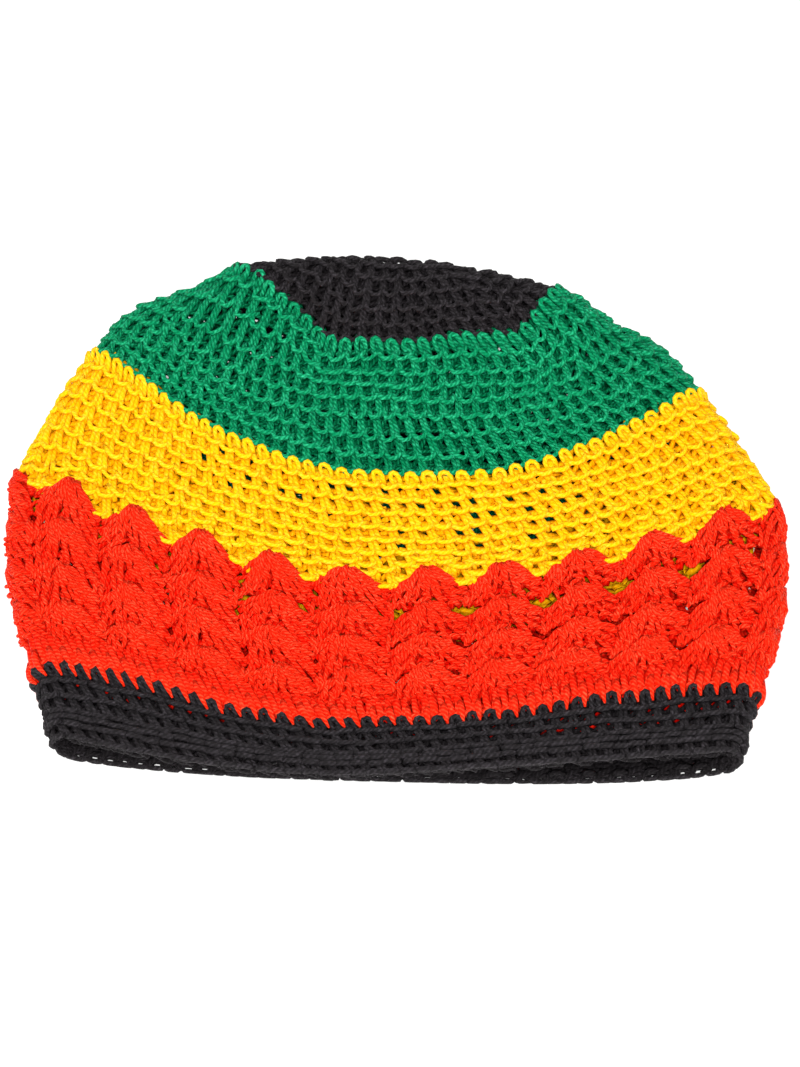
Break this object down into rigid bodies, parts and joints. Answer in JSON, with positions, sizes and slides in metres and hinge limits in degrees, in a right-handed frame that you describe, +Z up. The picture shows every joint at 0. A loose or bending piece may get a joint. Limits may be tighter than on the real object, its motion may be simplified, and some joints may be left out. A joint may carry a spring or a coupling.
{
  "type": "crocheted kufi",
  "caption": "Soft crocheted cotton kufi lying on its back: black six-sided crown, green and yellow bands, red shell-lace band and black ribbed rim.",
  "frame": {"origin": "Middle of the hat's bounding box on the floor plane, as it lies on its back.", "axes": "+X along the width of the lying hat, to the wearer's side that the picture shows on the right; +Y from the head opening toward the crown; +Z up from the floor it lies on."},
  "size_m": [0.244, 0.1722, 0.0679],
  "materials": {
    "black_cotton": "crocheted mercerised cotton yarn, slight sheen",
    "green_cotton": "crocheted mercerised cotton yarn, slight sheen",
    "yellow_cotton": "crocheted mercerised cotton yarn, slight sheen",
    "red_cotton": "crocheted mercerised cotton yarn, slight sheen"
  },
  "bodies": {
    "root": {"crown": "black_cotton", "green_band": "green_cotton", "yellow_band": "yellow_cotton", "shell_band": "red_cotton", "rim": "black_cotton"}
  },
  "joints": []
}
